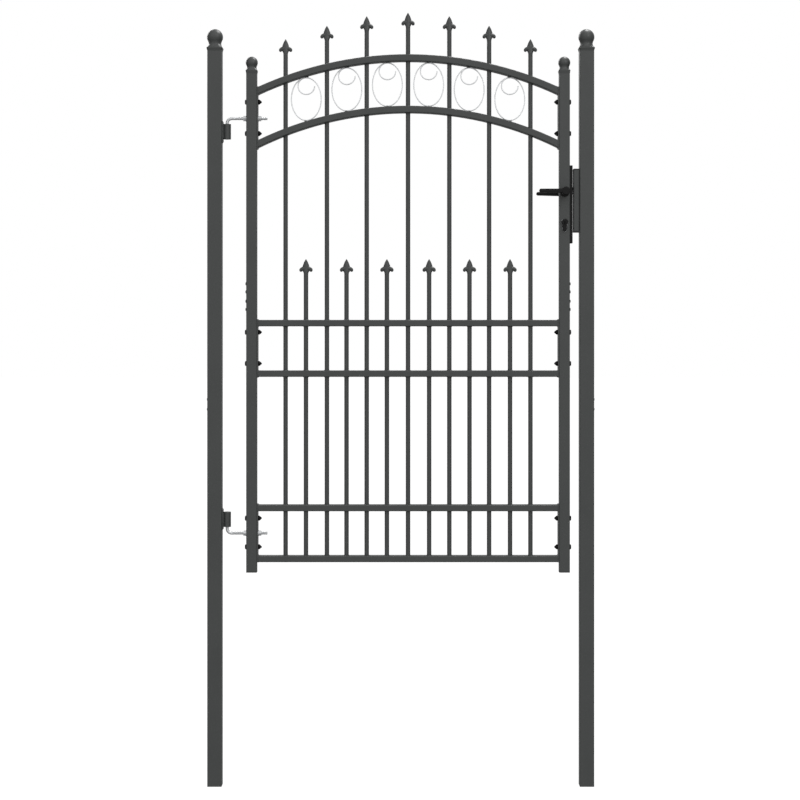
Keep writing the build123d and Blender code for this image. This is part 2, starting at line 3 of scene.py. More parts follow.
import bmesh
import bpy
import json
import math
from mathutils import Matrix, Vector


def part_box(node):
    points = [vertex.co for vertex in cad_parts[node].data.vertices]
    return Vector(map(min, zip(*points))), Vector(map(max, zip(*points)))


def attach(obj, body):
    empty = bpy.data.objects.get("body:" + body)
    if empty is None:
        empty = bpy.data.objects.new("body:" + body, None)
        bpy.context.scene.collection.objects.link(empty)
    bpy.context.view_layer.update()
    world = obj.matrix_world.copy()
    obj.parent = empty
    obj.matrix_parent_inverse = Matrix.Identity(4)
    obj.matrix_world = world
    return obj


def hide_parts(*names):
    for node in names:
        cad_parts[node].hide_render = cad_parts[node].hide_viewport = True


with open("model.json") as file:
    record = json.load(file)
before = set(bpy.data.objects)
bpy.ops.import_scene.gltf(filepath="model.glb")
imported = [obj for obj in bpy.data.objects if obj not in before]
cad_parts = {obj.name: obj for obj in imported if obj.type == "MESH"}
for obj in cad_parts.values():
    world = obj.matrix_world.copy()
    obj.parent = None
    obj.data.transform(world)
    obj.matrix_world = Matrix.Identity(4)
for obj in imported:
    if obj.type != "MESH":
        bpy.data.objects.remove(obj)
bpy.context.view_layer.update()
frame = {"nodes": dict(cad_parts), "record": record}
NODES = frame["nodes"]
MM = 0.001
TAU = math.tau

# ---- materials ------------------------------------------------------------------------


def shader(name):
    """A new material with its Principled node, and object coordinates to drive its textures."""
    material = bpy.data.materials.new(name)
    material.use_nodes = True
    tree = material.node_tree
    surface = next(n for n in tree.nodes if n.type == "BSDF_PRINCIPLED")
    place = tree.nodes.new("ShaderNodeTexCoord").outputs["Object"]
    return material, tree, surface, place


def noise(tree, place, scale, detail=3.0, roughness=0.55):
    """A noise texture, with its scale in blotches per metre."""
    node = tree.nodes.new("ShaderNodeTexNoise")
    node.inputs["Scale"].default_value = scale
    node.inputs["Detail"].default_value = detail
    node.inputs["Roughness"].default_value = roughness
    tree.links.new(place, node.inputs["Vector"])
    return node.outputs["Fac"]


def stretched(tree, place, scale):
    """The same coordinates scaled apart along each axis, for streaks."""
    node = tree.nodes.new("ShaderNodeMapping")
    node.inputs["Scale"].default_value = scale
    tree.links.new(place, node.inputs["Vector"])
    return node.outputs["Vector"]


def blend_colours(tree, factor, under, over):
    """Lays a plain colour over another by a factor."""
    node = tree.nodes.new("ShaderNodeMixRGB")
    tree.links.new(factor, node.inputs["Fac"])
    tree.links.new(under, node.inputs["Color1"])
    node.inputs["Color2"].default_value = (*over, 1.0)
    return node.outputs["Color"]


def ramp(tree, factor, stops):
    """A colour ramp through (position, colour) stops."""
    node = tree.nodes.new("ShaderNodeValToRGB")
    elements = node.color_ramp.elements
    while len(elements) < len(stops):
        elements.new(0.5)
    for element, (position, colour) in zip(elements, stops):
        element.position = position
        element.color = (*colour, 1.0)
    tree.links.new(factor, node.inputs["Fac"])
    return node.outputs["Color"]


def to_range(tree, factor, low, high):
    """Spreads the middle of a noise texture's values over low to high."""
    node = tree.nodes.new("ShaderNodeMapRange")
    node.inputs["From Min"].default_value = 0.3
    node.inputs["From Max"].default_value = 0.7
    node.inputs["To Min"].default_value = low
    node.inputs["To Max"].default_value = high
    tree.links.new(factor, node.inputs["Value"])
    return node.outputs["Result"]


def bump(tree, surface, heights):
    """Stacks bump nodes: each height is (factor, strength, depth in metres)."""
    normal = None
    for factor, strength, depth in heights:
        node = tree.nodes.new("ShaderNodeBump")
        node.inputs["Strength"].default_value = strength
        node.inputs["Distance"].default_value = depth
        tree.links.new(factor, node.inputs["Height"])
        if normal:
            tree.links.new(normal, node.inputs["Normal"])
        normal = node.outputs["Normal"]
    tree.links.new(normal, surface.inputs["Normal"])


def paler(colour, times):
    """A colour some times as bright."""
    return tuple(c * times for c in colour)


def powder_coat(name, dark, light, rough, specular=0.5):
    """Satin powder coat: tone drift, a little settled dust, orange peel, fine grain and faint rub marks."""
    material, tree, surface, place = shader(name)
    surface.inputs["Specular IOR Level"].default_value = specular
    drift = noise(tree, place, 9.0, 4.0)
    speck = noise(tree, place, 330.0, 4.0, 0.7)
    tone = ramp(tree, drift, [(0.3, dark), (0.7, light)])
    dusty = ramp(tree, speck, [(0.55, (0, 0, 0)), (0.78, (1, 1, 1))])
    dusted = blend_colours(tree, dusty, tone, paler(light, 1.5))
    tree.links.new(dusted, surface.inputs["Base Color"])
    peel = noise(tree, place, 520.0, 2.0)
    grain = noise(tree, place, 2400.0, 1.0)
    rub = noise(tree, stretched(tree, place, (260.0, 260.0, 14.0)), 1.0, 3.0)
    tree.links.new(to_range(tree, peel, *rough), surface.inputs["Roughness"])
    bump(tree, surface, [(peel, 0.35, 0.00012), (grain, 0.25, 0.00003), (rub, 0.15, 0.00005)])
    return material


def zinc_plate(name, dark, light, rough, metallic=1.0):
    """Plated steel: cloudy spangle, fine drawing lines and small scuffs."""
    material, tree, surface, place = shader(name)
    surface.inputs["Metallic"].default_value = metallic
    cloud = noise(tree, place, 160.0, 5.0, 0.6)
    tone = ramp(tree, cloud, [(0.32, dark), (0.68, light)])
    tree.links.new(tone, surface.inputs["Base Color"])
    tree.links.new(to_range(tree, cloud, *rough), surface.inputs["Roughness"])
    scuff = noise(tree, place, 1500.0, 2.0)
    drawn = noise(tree, stretched(tree, place, (40.0, 900.0, 900.0)), 1.0, 2.0)
    bump(tree, surface, [(scuff, 0.2, 0.00004), (drawn, 0.2, 0.00003)])
    return material


def moulded_plastic(name, colour, rough):
    """Black plastic with the fine texture of its mould and a slight drift of tone."""
    material, tree, surface, place = shader(name)
    texture = noise(tree, place, 900.0, 2.0)
    drift = noise(tree, place, 60.0)
    tone = ramp(tree, drift, [(0.3, colour), (0.7, paler(colour, 1.35))])
    tree.links.new(tone, surface.inputs["Base Color"])
    tree.links.new(to_range(tree, texture, *rough), surface.inputs["Roughness"])
    bump(tree, surface, [(texture, 0.4, 0.00008)])
    return material


ANTHRACITE = {"dark": (0.032, 0.035, 0.034), "light": (0.037, 0.040, 0.039), "rough": (0.40, 0.50)}
BLACK = {"dark": (0.004, 0.004, 0.004), "light": (0.006, 0.006, 0.006), "rough": (0.46, 0.56)}
PLASTIC = {"colour": (0.010, 0.010, 0.010), "rough": (0.5, 0.64)}
ZINC = {"dark": (0.50, 0.51, 0.52), "light": (0.66, 0.67, 0.68), "rough": (0.36, 0.48)}
GALVANISED_BAR = {"dark": (0.62, 0.63, 0.64), "light": (0.76, 0.77, 0.78), "rough": (0.46, 0.58)}
GALVANISED_SHEET = {"dark": (0.36, 0.37, 0.38), "light": (0.48, 0.49, 0.50), "rough": (0.35, 0.5)}
NICKEL = {"dark": (0.62, 0.62, 0.63), "light": (0.74, 0.74, 0.75), "rough": (0.34, 0.44)}

MATERIALS = {
    "anthracite_steel": powder_coat("anthracite powder coat", **ANTHRACITE),
    "black_metal": powder_coat("black powder coat", **BLACK, specular=0.16),
    "black_plastic": moulded_plastic("moulded black plastic", **PLASTIC),
    "zinc_steel": zinc_plate("bright zinc plate", **ZINC, metallic=0.65),
    "galvanised_wire": zinc_plate("pale galvanised bar", **GALVANISED_BAR, metallic=0.25),
    "inner_steel": zinc_plate("galvanised sheet", **GALVANISED_SHEET),
    "bolt_steel": zinc_plate("nickel-plated steel", **NICKEL, metallic=0.6),
}

for row in frame["record"]["subparts"]:
    node_mesh = NODES[row["node"]].data
    node_mesh.materials.clear()
    node_mesh.materials.append(MATERIALS[row["material_slot"]])

# ---- mesh building --------------------------------------------------------------------


class Shape:
    """Gathers lofted surfaces in millimetres, and turns them into one Blender object."""

    def __init__(self):
        self.verts = []
        self.faces = []

    def loft(self, loops, joined=False):
        """Skins closed loops of equal length.

        If joined, the last loop meets the first; otherwise both ends are capped.
        """
        count = len(loops[0])
        start = len(self.verts)
        for loop in loops:
            self.verts += [Vector(p) * MM for p in loop]
        rows = len(loops)
        for row in range(rows if joined else rows - 1):
            here, there = start + row * count, start + (row + 1) % rows * count
            for i in range(count):
                j = (i + 1) % count
                self.faces.append((here + i, here + j, there + j, there + i))
        if not joined:
            self.faces.append(tuple(reversed(range(start, start + count))))
            self.faces.append(tuple(range(start + (rows - 1) * count, start + rows * count)))

    def finish(self, name, body, slot, replaces=(), sharp=60.0):
        """Makes the object, smooth but for edges sharper than an angle in degrees."""
        mesh = bpy.data.meshes.new(name)
        mesh.from_pydata(self.verts, [], self.faces)
        edit = bmesh.new()
        edit.from_mesh(mesh)
        bmesh.ops.recalc_face_normals(edit, faces=edit.faces)
        edit.to_mesh(mesh)
        edit.free()
        mesh.shade_smooth()
        mesh.set_sharp_from_angle(angle=math.radians(sharp))
        mesh.materials.append(MATERIALS[slot])
        piece = bpy.data.objects.new(name, mesh)
        bpy.context.scene.collection.objects.link(piece)
        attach(piece, body)
        if replaces:
            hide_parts(*replaces)


def round_angles(count, shift=0.0):
    """Even angles right round a circle; shift is a share of one step."""
    return [TAU * (k + shift) / count for k in range(count)]


def squared(angle, power):
    """Cosine and sine on a curve that goes from a diamond (power 1) through a circle (2) to a square."""
    c, s = math.cos(angle), math.sin(angle)
    stretch = (abs(c) ** power + abs(s) ** power) ** (-1 / power)
    return c * stretch, s * stretch


def superellipse(x, z, half_x, half_y, power, count, shift=0.5):
    """A level loop about the centre plane, from ridged (power near 1) to nearly square (8 and up)."""
    loop = []
    for angle in round_angles(count, shift):
        c, s = squared(angle, power)
        loop.append((x + half_x * c, half_y * s, z))
    return loop


def frames_along(points, closed=False):
    """A tangent and two steady normals at each point of a path."""
    tangents = []
    last = len(points) - 1
    for i, point in enumerate(points):
        before = points[i - 1] if i or closed else points[0]
        after = points[(i + 1) % len(points)] if i < last or closed else points[last]
        tangents.append((after - before).normalized())
    side = tangents[0].orthogonal().normalized()
    frames = []
    for tangent in tangents:
        side = (side - tangent * side.dot(tangent)).normalized()
        frames.append((tangent, side, tangent.cross(side)))
    return frames


def tube(points, radius, segments, closed=False):
    """Loops round a path; radius is a number or a function of (distance along, angle)."""
    loops = []
    travelled = 0.0
    frames = frames_along(points, closed)
    for i, (point, (_, side, up)) in enumerate(zip(points, frames)):
        if i:
            travelled += (point - points[i - 1]).length
        loop = []
        for angle in round_angles(segments):
            r = radius(travelled, angle) if callable(radius) else radius
            loop.append(point + (side * math.cos(angle) + up * math.sin(angle)) * r)
        loops.append(loop)
    return loops


def between(a, b, c, d, t):
    """A number on the smooth curve from b to c that heads on from a and towards d."""
    slope = c - a
    bend = 2 * a - 5 * b + 4 * c - d
    twist = 3 * b - a - 3 * c + d
    return 0.5 * (2 * b + slope * t + bend * t**2 + twist * t**3)


def catmull(keys, steps):
    """Smooth rows through key rows of numbers."""
    rows = []
    last = len(keys) - 1
    for i in range(last):
        around = [keys[max(0, min(last, i + k))] for k in (-1, 0, 1, 2)]
        for step in range(steps):
            t = step / steps
            rows.append(tuple(between(*column, t) for column in zip(*around)))
    rows.append(tuple(keys[-1]))
    return rows


def box_mm(node):
    """A node's lowest and highest corners in millimetres."""
    low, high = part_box(node)
    return low / MM, high / MM


def middle_x(box):
    """X half way across a box."""
    low, high = box
    return (low.x + high.x) / 2


# ---- places worked out from the frame -------------------------------------------------

LEAF_X = (box_mm("hinge_stile_lower")[0].x + box_mm("lock_stile_lower")[1].x) / 2
RAIL_LEFT, RAIL_RIGHT = box_mm("upper_arch")[0].x, box_mm("upper_arch")[1].x
RAIL_HALF_DEPTH = box_mm("base_rail_top")[1].y
HALF_SPAN = (RAIL_RIGHT - RAIL_LEFT) / 2
ARCH_HEIGHT = 18.0
RAIL_NODES = ["base_rail_bottom", "base_rail_top", "middle_rail_bottom", "middle_rail_top"]
STRAIGHT_RAILS = [box_mm(node) for node in RAIL_NODES]
LONG_PICKETS = [box_mm(f"long_picket_{n}") for n in range(1, 8)]
SHORT_PICKETS = [box_mm(f"short_picket_{n}") for n in range(1, 7)]
PICKET_RADIUS = 6.0
POST_TUBES = [box_mm("left_post_upper"), box_mm("right_post_upper")]
STILE_TUBES = [box_mm("hinge_stile_upper"), box_mm("lock_stile_upper")]


def arch_circle(node):
    """Radius of an arched rail's top face and the height of its centre, from its box."""
    low, high = box_mm(node)
    # low.z is the underside at the rail's cut ends, and high.z the crown's top:
    # (radius - height)^2 = half span^2 + (low - centre)^2, with centre = crown - radius
    drop = high.z - low.z
    radius = (HALF_SPAN**2 + drop**2 - ARCH_HEIGHT**2) / (2 * (drop - ARCH_HEIGHT))
    return radius, high.z - radius


UPPER_ARCH = arch_circle("upper_arch")
LOWER_ARCH = arch_circle("lower_arch")


def arch_z(arch, offset, drop=0.0):
    """Height of an arch's top face, less a drop towards its centre, at an offset from the leaf's middle."""
    radius, centre = arch
    return centre + math.sqrt((radius - drop) ** 2 - offset**2)


# ---- spear heads ----------------------------------------------------------------------

HEAD_LENGTH = 38.0
# depth below the tip, half width, half thickness
SPEAR_BODY = [
    (0.0, 0.6, 0.6),
    (3.3, 2.5, 1.8),
    (6.0, 4.1, 2.5),
    (8.6, 5.4, 3.0),
    (11.3, 6.4, 3.5),
    (13.9, 7.4, 3.9),
    (16.6, 8.3, 4.3),
    (19.2, 9.0, 4.6),
    (23.0, 9.6, 4.9),
    (28.0, 9.8, 5.2),
    (31.5, 9.0, 5.5),
    (33.8, 7.6, 5.8),
    (36.0, 6.5, 6.0),
    (38.0, 6.4, 6.4),
]
SPEAR_SIDES = 24
SPEAR_RIDGE_END = 24.0  # depth at which the ridged section starts to turn round
RIDGED, ROUND = 1.25, 2.0  # powers of the section at the tip and at the foot
# distance from the middle, depth, half thickness in the head's plane and across it
SPEAR_WING = [
    (3.0, 25.3, 5.6, 4.6),
    (7.4, 25.0, 5.4, 4.4),
    (10.8, 26.2, 5.1, 4.2),
    (12.8, 27.8, 4.8, 4.0),
    (13.3, 29.2, 4.4, 3.8),
]
WING_SIDES = 14
WING_END_TURNS = (30, 60, 84)  # degrees round the nub, from its widest section to its tip


def wing_loops(x, tip, side):
    """An arm that leaves the blade level, bends down and ends in a round nub."""
    rows = catmull(SPEAR_WING, 4)
    path = [Vector((x + side * across, 0, tip - depth)) for across, depth, _, _ in rows]
    sizes = [(flat, deep) for _, _, flat, deep in rows]
    end = path[-1]
    along = (end - path[-2]).normalized()
    end_flat, end_deep = sizes[-1]
    for degrees in WING_END_TURNS:
        turn = math.radians(degrees)
        path.append(end + along * end_flat * math.sin(turn))
        sizes.append((end_flat * math.cos(turn), end_deep * math.cos(turn)))
    last = len(path) - 1
    loops = []
    for i, (point, (flat, deep)) in enumerate(zip(path, sizes)):
        forward = (path[min(i + 1, last)] - path[max(i - 1, 0)]).normalized()
        out = Vector((forward.z, 0, -forward.x))
        loop = []
        for angle in round_angles(WING_SIDES):
            loop.append(point + out * flat * math.cos(angle) + Vector((0, deep * math.sin(angle), 0)))
        loops.append(loop)
    return loops


def spear_heads(name, picket_boxes):
    """Cast spear heads that stand on the pickets' ends."""
    shape = Shape()
    for box in picket_boxes:
        x, tip = middle_x(box), box[1].z + HEAD_LENGTH
        blade = []
        for depth, half_width, half_depth in catmull(SPEAR_BODY, 3):
            roundness = max(0.0, depth - SPEAR_RIDGE_END) / (HEAD_LENGTH - SPEAR_RIDGE_END)
            power = RIDGED + (ROUND - RIDGED) * roundness
            blade.append(superellipse(x, tip - depth, half_width, half_depth, power, SPEAR_SIDES, shift=0))
        shape.loft(blade)
        for side in (-1, 1):
            shape.loft(wing_loops(x, tip, side))
    shape.finish(f"{name}_cast", "leaf", "anthracite_steel", [name], sharp=50)


spear_heads("long_spear_heads", LONG_PICKETS)
spear_heads("short_spear_heads", SHORT_PICKETS)

# ---- ball caps ------------------------------------------------------------------------

# shares of the way from the tube's top to the rim, and of the rim's overhang
CAP_UNDERSIDE = [(0.02, 0.08), (0.3, 0.32), (0.65, 0.68), (0.88, 0.93), (1.0, 1.0)]
# shares of the way from the rim up to the waist, and of the rim's reach beyond the waist
CAP_FLARE = [
    (0.07, 0.97),
    (0.14, 0.84),
    (0.26, 0.58),
    (0.42, 0.36),
    (0.6, 0.18),
    (0.8, 0.05),
    (1.0, 0.0),
]
CAP_CLEARANCE = 0.2  # between the tube's faces and the cap's first loop
RIM_POWER = 12  # how square the rim is
FLARE_POWER = 9.0  # how much squarer than round the flare is at the rim
THROAT_REACH = 1.1  # where the ball takes over from the fillet, in waists
FILLET_REACH = 1.03  # the fillet's radius half way there, in waists
CAP_SIDES = 64
BALL_STEPS = 25

# rim's half width, rim's height, waist's radius, ball's radius, waist's height
POST_CAP = (21.3, 1952.9, 16.6, 21.2, 1965.6)
STILE_CAP = (15.5, 1893.6, 12.7, 16.0, 1903.0)


def ball_caps(name, tube_boxes, sizes, body):
    """Cast caps: a thin square rim that sweeps up through a waist and a soft fillet into a ball."""
    rim_half, rim_z, waist, ball, waist_z = sizes
    middle = box_mm(name)[1].z - ball
    first = -math.acos(waist * THROAT_REACH / ball)
    throat = middle + ball * math.sin(first)
    shape = Shape()
    for box in tube_boxes:
        low, high = box
        x, top = middle_x(box), high.z
        start = (high.x - low.x) / 2 + CAP_CLEARANCE
        keys = []
        for up, out in CAP_UNDERSIDE:
            keys.append((top + (rim_z - top) * up, start + (rim_half - start) * out, RIM_POWER))
        for up, out in CAP_FLARE:
            z = rim_z + (waist_z - rim_z) * up
            keys.append((z, waist + (rim_half - waist) * out, ROUND + FLARE_POWER * out**1.5))
        keys.append(((waist_z + throat) / 2, waist * FILLET_REACH, ROUND))
        keys.append((throat, ball * math.cos(first), ROUND))
        loops = [superellipse(x, z, half, half, power, CAP_SIDES) for z, half, power in catmull(keys, 3)]
        for k in range(1, BALL_STEPS):
            angle = first + (math.pi / 2 - first) * k / BALL_STEPS
            half = ball * math.cos(angle)
            loops.append(superellipse(x, middle + ball * math.sin(angle), half, half, ROUND, CAP_SIDES))
        shape.loft(loops)
    shape.finish(f"{name}_cast", body, "anthracite_steel", [name], sharp=45)


ball_caps("post_caps", POST_TUBES, POST_CAP, "posts")
ball_caps("stile_caps", STILE_TUBES, STILE_CAP, "leaf")

# ---- scroll rings ---------------------------------------------------------------------

RING_BAR = 3.0
RING_DEPTH = 6.0
RING_HALF_WIDTH = 41.0 - RING_BAR / 2  # to the middle of the bar, as is the curl's radius
CURL_RADIUS = 23.5 - RING_BAR / 2
RING_CLEARANCE = 0.4  # between an oval and each arch
CURL_START, CURL_SWEEP = 90, 270  # degrees
OVAL_POINTS = 96
CURL_STEPS = 59
BAR_SIDES = 12
BAR_POWER = 5  # how square the bar's section is
# middle above the arch's face, half sizes along X, Y and Z
ROOF_TACK = (-1.0, (6.4, 4.2, 2.1))
FLOOR_TACK = (1.3, (5.2, 4.2, 2.4))
TACK_ROWS = 9
TACK_SIDES = 12
TACK_SWELL = 0.12  # share of the size by which a tack's outline is uneven


def flat_bar(points, closed=False):
    """Loops of a soft-edged flat bar whose path lies in an upright plane, its width along Y."""
    loops = []
    for point, (tangent, _, _) in zip(points, frames_along(points, closed)):
        out = Vector((tangent.z, 0, -tangent.x))
        loop = []
        for angle in round_angles(BAR_SIDES, shift=0.5):
            c, s = squared(angle, BAR_POWER)
            loop.append(point + out * (RING_BAR / 2 * c) + Vector((0, RING_DEPTH / 2 * s, 0)))
        loops.append(loop)
    return loops


def tack(middle, half, seed):
    """A small uneven weld, as loops along X."""
    loops = []
    for row in range(TACK_ROWS):
        along = -math.cos(math.pi * (row + 0.5) / TACK_ROWS)
        size = math.sqrt(1 - along * along)
        loop = []
        for angle in round_angles(TACK_SIDES):
            swell = 1 + TACK_SWELL * math.sin(3 * angle + seed * 2.1 + row * 0.9)
            y, z = size * math.cos(angle), size * math.sin(angle) * swell
            loop.append(middle + Vector((half[0] * along, half[1] * y, half[2] * z)))
        loops.append(loop)
    return loops


def scroll_rings():
    """An oval with a curl inside its top, between each two long pickets, tacked to both arches."""
    rings = Shape()
    tacks = Shape()
    centres = [middle_x(box) for box in LONG_PICKETS]
    for number, (left, right) in enumerate(zip(centres[:-1], centres[1:])):
        x = (left + right) / 2
        offset = x - LEAF_X
        roof = arch_z(UPPER_ARCH, offset, ARCH_HEIGHT)
        floor = arch_z(LOWER_ARCH, offset)
        slope = offset / (roof - UPPER_ARCH[1])
        reach = (roof - floor) / 2 - RING_CLEARANCE * math.sqrt(1 + slope**2)
        outer_half_width = RING_HALF_WIDTH + RING_BAR / 2
        half_height = math.sqrt(reach**2 - (slope * outer_half_width) ** 2) - RING_BAR / 2
        middle = Vector((x, 0, (roof + floor) / 2))
        oval = []
        for a in round_angles(OVAL_POINTS):
            oval.append(middle + Vector((RING_HALF_WIDTH * math.cos(a), 0, half_height * math.sin(a))))
        rings.loft(flat_bar(oval, closed=True), joined=True)
        hub = middle + Vector((0, 0, half_height - CURL_RADIUS))
        curl = []
        for k in range(CURL_STEPS + 1):
            a = math.radians(CURL_START + CURL_SWEEP * k / CURL_STEPS)
            curl.append(hub + Vector((math.cos(a), 0, math.sin(a))) * CURL_RADIUS)
        rings.loft(flat_bar(curl))
        for face, (lift, half), seed in ((roof, ROOF_TACK, number), (floor, FLOOR_TACK, number + 7)):
            tacks.loft(tack(Vector((x, 0, face + lift)), half, seed))
    rings.finish("scroll_rings_bent", "leaf", "galvanised_wire", ["scroll_rings"], sharp=50)
    tacks.finish("ring_welds", "leaf", "anthracite_steel", sharp=35)


scroll_rings()

# ---- welds ----------------------------------------------------------------------------

PICKET_BEAD = 0.95  # radii of the beads
RAIL_BEAD = 1.25
PLATE_BEAD = 1.3
WEB_BEAD = 1.1
BEAD_SIDES = 6
BEAD_RIPPLE = 0.16  # height of a bead's scales, as a share of its radius
BEAD_SCALES = 2.2  # how fast the scales follow each other, in radians per mm
PICKET_BEAD_POINTS = 20
PICKET_GAP = 0.5  # from a picket's surface to the middle of its bead
BEAD_LIFT = 0.3  # from a rail's face to the middle of the bead on it
END_INSET = 0.6  # from a rail's cut end and its two sides to the middle of the bead
ARCH_INSET = 0.5  # from an arch's cut end to where its height is taken
EDGE_INSET = 0.2  # from the edges of a rail or plate to the middle of the bead
PLATE_OFFSET = 0.5  # from the post to the middle of the bead round a hinge plate
FACE_OFFSET = 0.2  # from the plate to the middle of the bead round the web
LONGEST_STEP = 3.0  # between a bead's points, so that its scales show
RAIL_CORNER = 2.2  # radii of the paths' corners
PLATE_CORNER = 1.5
WEB_CORNER = 1.0
# sizes of the hinge barrels' node that its box doesn't give
BARREL_LENGTH = 39.8
WEB_HALF_DEPTH = 6.5
WEB_BELOW, WEB_ABOVE = 2, 3  # how much shorter than the barrel the web's bead is at either end


def bead(path, radius, seed):
    """A closed weld bead with the scales that the torch leaves."""

    def rough(travelled, angle):
        slant = 0.5 * math.sin(angle)
        return radius * (1 + BEAD_RIPPLE * math.sin(travelled * BEAD_SCALES + seed + slant))

    return tube(path, rough, BEAD_SIDES, closed=True)


def level_face(height):
    """A flat face's height at any X."""

    def face(_):
        return height

    return face


def arch_face(arch, drop):
    """The height at any X of an arch's top face, or of its underside with the arch's height as drop."""

    def face(x):
        return arch_z(arch, x - LEAF_X, drop)

    return face


def round_picket(x, face, lift):
    """The path of a weld round a picket, lying on a rail's face given as a height for each X."""
    reach = PICKET_RADIUS + PICKET_GAP
    path = []
    for angle in round_angles(PICKET_BEAD_POINTS):
        px = x + reach * math.cos(angle)
        path.append(Vector((px, reach * math.sin(angle), face(px) + lift)))
    return path


def picket_welds():
    """Beads round each picket above and below every rail that it passes through."""
    shape = Shape()
    flat_faces = []
    for low, high in STRAIGHT_RAILS:
        flat_faces += [(low.z, -BEAD_LIFT), (high.z, BEAD_LIFT)]
    for number, box in enumerate(LONG_PICKETS + SHORT_PICKETS):
        low, high = box
        for height, lift in flat_faces:
            if low.z + 1 < height < high.z:
                path = round_picket(middle_x(box), level_face(height), lift)
                shape.loft(bead(path, PICKET_BEAD, number), joined=True)
    for number, box in enumerate(LONG_PICKETS):
        for arch in (UPPER_ARCH, LOWER_ARCH):
            for drop, lift in ((0.0, BEAD_LIFT), (ARCH_HEIGHT, -BEAD_LIFT)):
                path = round_picket(middle_x(box), arch_face(arch, drop), lift)
                shape.loft(bead(path, PICKET_BEAD, number + drop), joined=True)
    shape.finish("picket_welds", "leaf", "anthracite_steel")


def frame_path(x, half_y, low, high, corner):
    """A rounded rectangle across X, as a path."""
    corners = []
    for y_side, z_side, start in ((1, 1, 0), (-1, 1, 90), (-1, -1, 180), (1, -1, 270)):
        y = y_side * (half_y - corner)
        z = high - corner if z_side > 0 else low + corner
        for degrees in (0, 30, 60, 90):
            a = math.radians(start + degrees)
            corners.append(Vector((x, y + corner * math.cos(a), z + corner * math.sin(a))))
    path = []
    for i, point in enumerate(corners):
        after = corners[(i + 1) % len(corners)]
        parts = max(1, math.ceil((after - point).length / LONGEST_STEP))
        path += [point.lerp(after, k / parts) for k in range(parts)]
    return path


def rail_end_welds():
    """Beads where each rail meets its end plates."""
    shape = Shape()
    spans = [(low.z, high.z) for low, high in STRAIGHT_RAILS]
    edge = HALF_SPAN - ARCH_INSET
    for arch in (UPPER_ARCH, LOWER_ARCH):
        spans.append((arch_z(arch, edge, ARCH_HEIGHT), arch_z(arch, edge)))
    for number, (low, high) in enumerate(spans):
        for x in (RAIL_LEFT + END_INSET, RAIL_RIGHT - END_INSET):
            half_y = RAIL_HALF_DEPTH - END_INSET
            path = frame_path(x, half_y, low + EDGE_INSET, high - EDGE_INSET, RAIL_CORNER)
            shape.loft(bead(path, RAIL_BEAD, number * 1.7), joined=True)
    shape.finish("rail_end_welds", "leaf", "anthracite_steel")


def hinge_welds():
    """Beads round the hinge plates on the post, and where each barrel's web meets its plate."""
    shape = Shape()
    plates_low, plates_high = box_mm("hinge_plates")
    barrels_low, barrels_high = box_mm("hinge_barrels")
    margin = plates_high.z - barrels_high.z  # a plate reaches this far past its barrel
    for bottom in (barrels_low.z, barrels_high.z - BARREL_LENGTH):
        top = bottom + BARREL_LENGTH
        low, high = bottom - margin + EDGE_INSET, top + margin - EDGE_INSET
        half_y = plates_high.y - EDGE_INSET
        outline = frame_path(plates_low.x + PLATE_OFFSET, half_y, low, high, PLATE_CORNER)
        shape.loft(bead(outline, PLATE_BEAD, bottom), joined=True)
        low, high = bottom + WEB_BELOW, top - WEB_ABOVE
        web = frame_path(plates_high.x + FACE_OFFSET, WEB_HALF_DEPTH, low, high, WEB_CORNER)
        shape.loft(bead(web, WEB_BEAD, bottom + 1), joined=True)
    shape.finish("hinge_welds", "posts", "anthracite_steel")


picket_welds()
rail_end_welds()
hinge_welds()

# ---- hinge bolts and cap nuts ---------------------------------------------------------

BOLT_RADIUS = 4.0
LEG_BEND = 12.0
BEND_STEPS = 12
BOLT_SIDES = 20
THREAD_PITCH = 1.25
THREAD_DEPTH = 0.45
THREAD_START = 1.0  # past the bend
STEPS_PER_PITCH = 6
PIN_TIP_RADIUS = BOLT_RADIUS - 0.7
LEG_TIP_RADIUS = BOLT_RADIUS - 0.9
# which way each pin runs from its bolt's level leg
PIN_WAYS = {"upper_hinge_bolt": -1, "lower_hinge_bolt": 1}


def thread_radius(x, angle):
    """Radius of a thread that winds along X."""
    turn = (x / THREAD_PITCH - angle / TAU) % 1
    return BOLT_RADIUS - THREAD_DEPTH * abs(2 * turn - 1)


def hinge_bolt(node, way):
    """A rod bent to an L: a plain pin in the barrel, and a level leg threaded to its end."""
    low, high = box_mm(node)
    pivot_x = low.x + BOLT_RADIUS
    leg_z = (high.z if way < 0 else low.z) + way * BOLT_RADIUS
    pin_end = low.z if way < 0 else high.z
    corner = Vector((pivot_x + LEG_BEND, 0, leg_z + way * LEG_BEND))
    path = [Vector((pivot_x, 0, z)) for z in (pin_end, pin_end - way * 0.6, (pin_end + corner.z) / 2)]
    radii = [PIN_TIP_RADIUS, BOLT_RADIUS, BOLT_RADIUS]
    for k in range(BEND_STEPS + 1):
        a = math.pi / 2 * k / BEND_STEPS
        path.append(corner + Vector((-LEG_BEND * math.cos(a), 0, -way * LEG_BEND * math.sin(a))))
        radii.append(BOLT_RADIUS)
    start = corner.x + THREAD_START
    step = THREAD_PITCH / STEPS_PER_PITCH
    for k in range(1, int((high.x - start) / step)):
        path.append(Vector((start + k * step, 0, leg_z)))
        radii.append(None)  # threaded
    path.append(Vector((high.x, 0, leg_z)))
    radii.append(LEG_TIP_RADIUS)
    loops = []
    for point, (_, side, up), radius in zip(path, frames_along(path), radii):
        loop = []
        for angle in round_angles(BOLT_SIDES):
            r = radius or thread_radius(point.x, angle)
            loop.append(point + (side * math.cos(angle) + up * math.sin(angle)) * r)
        loops.append(loop)
    shape = Shape()
    shape.loft(loops)
    shape.finish(f"{node}_threaded", "leaf", "zinc_steel", [node], sharp=40)


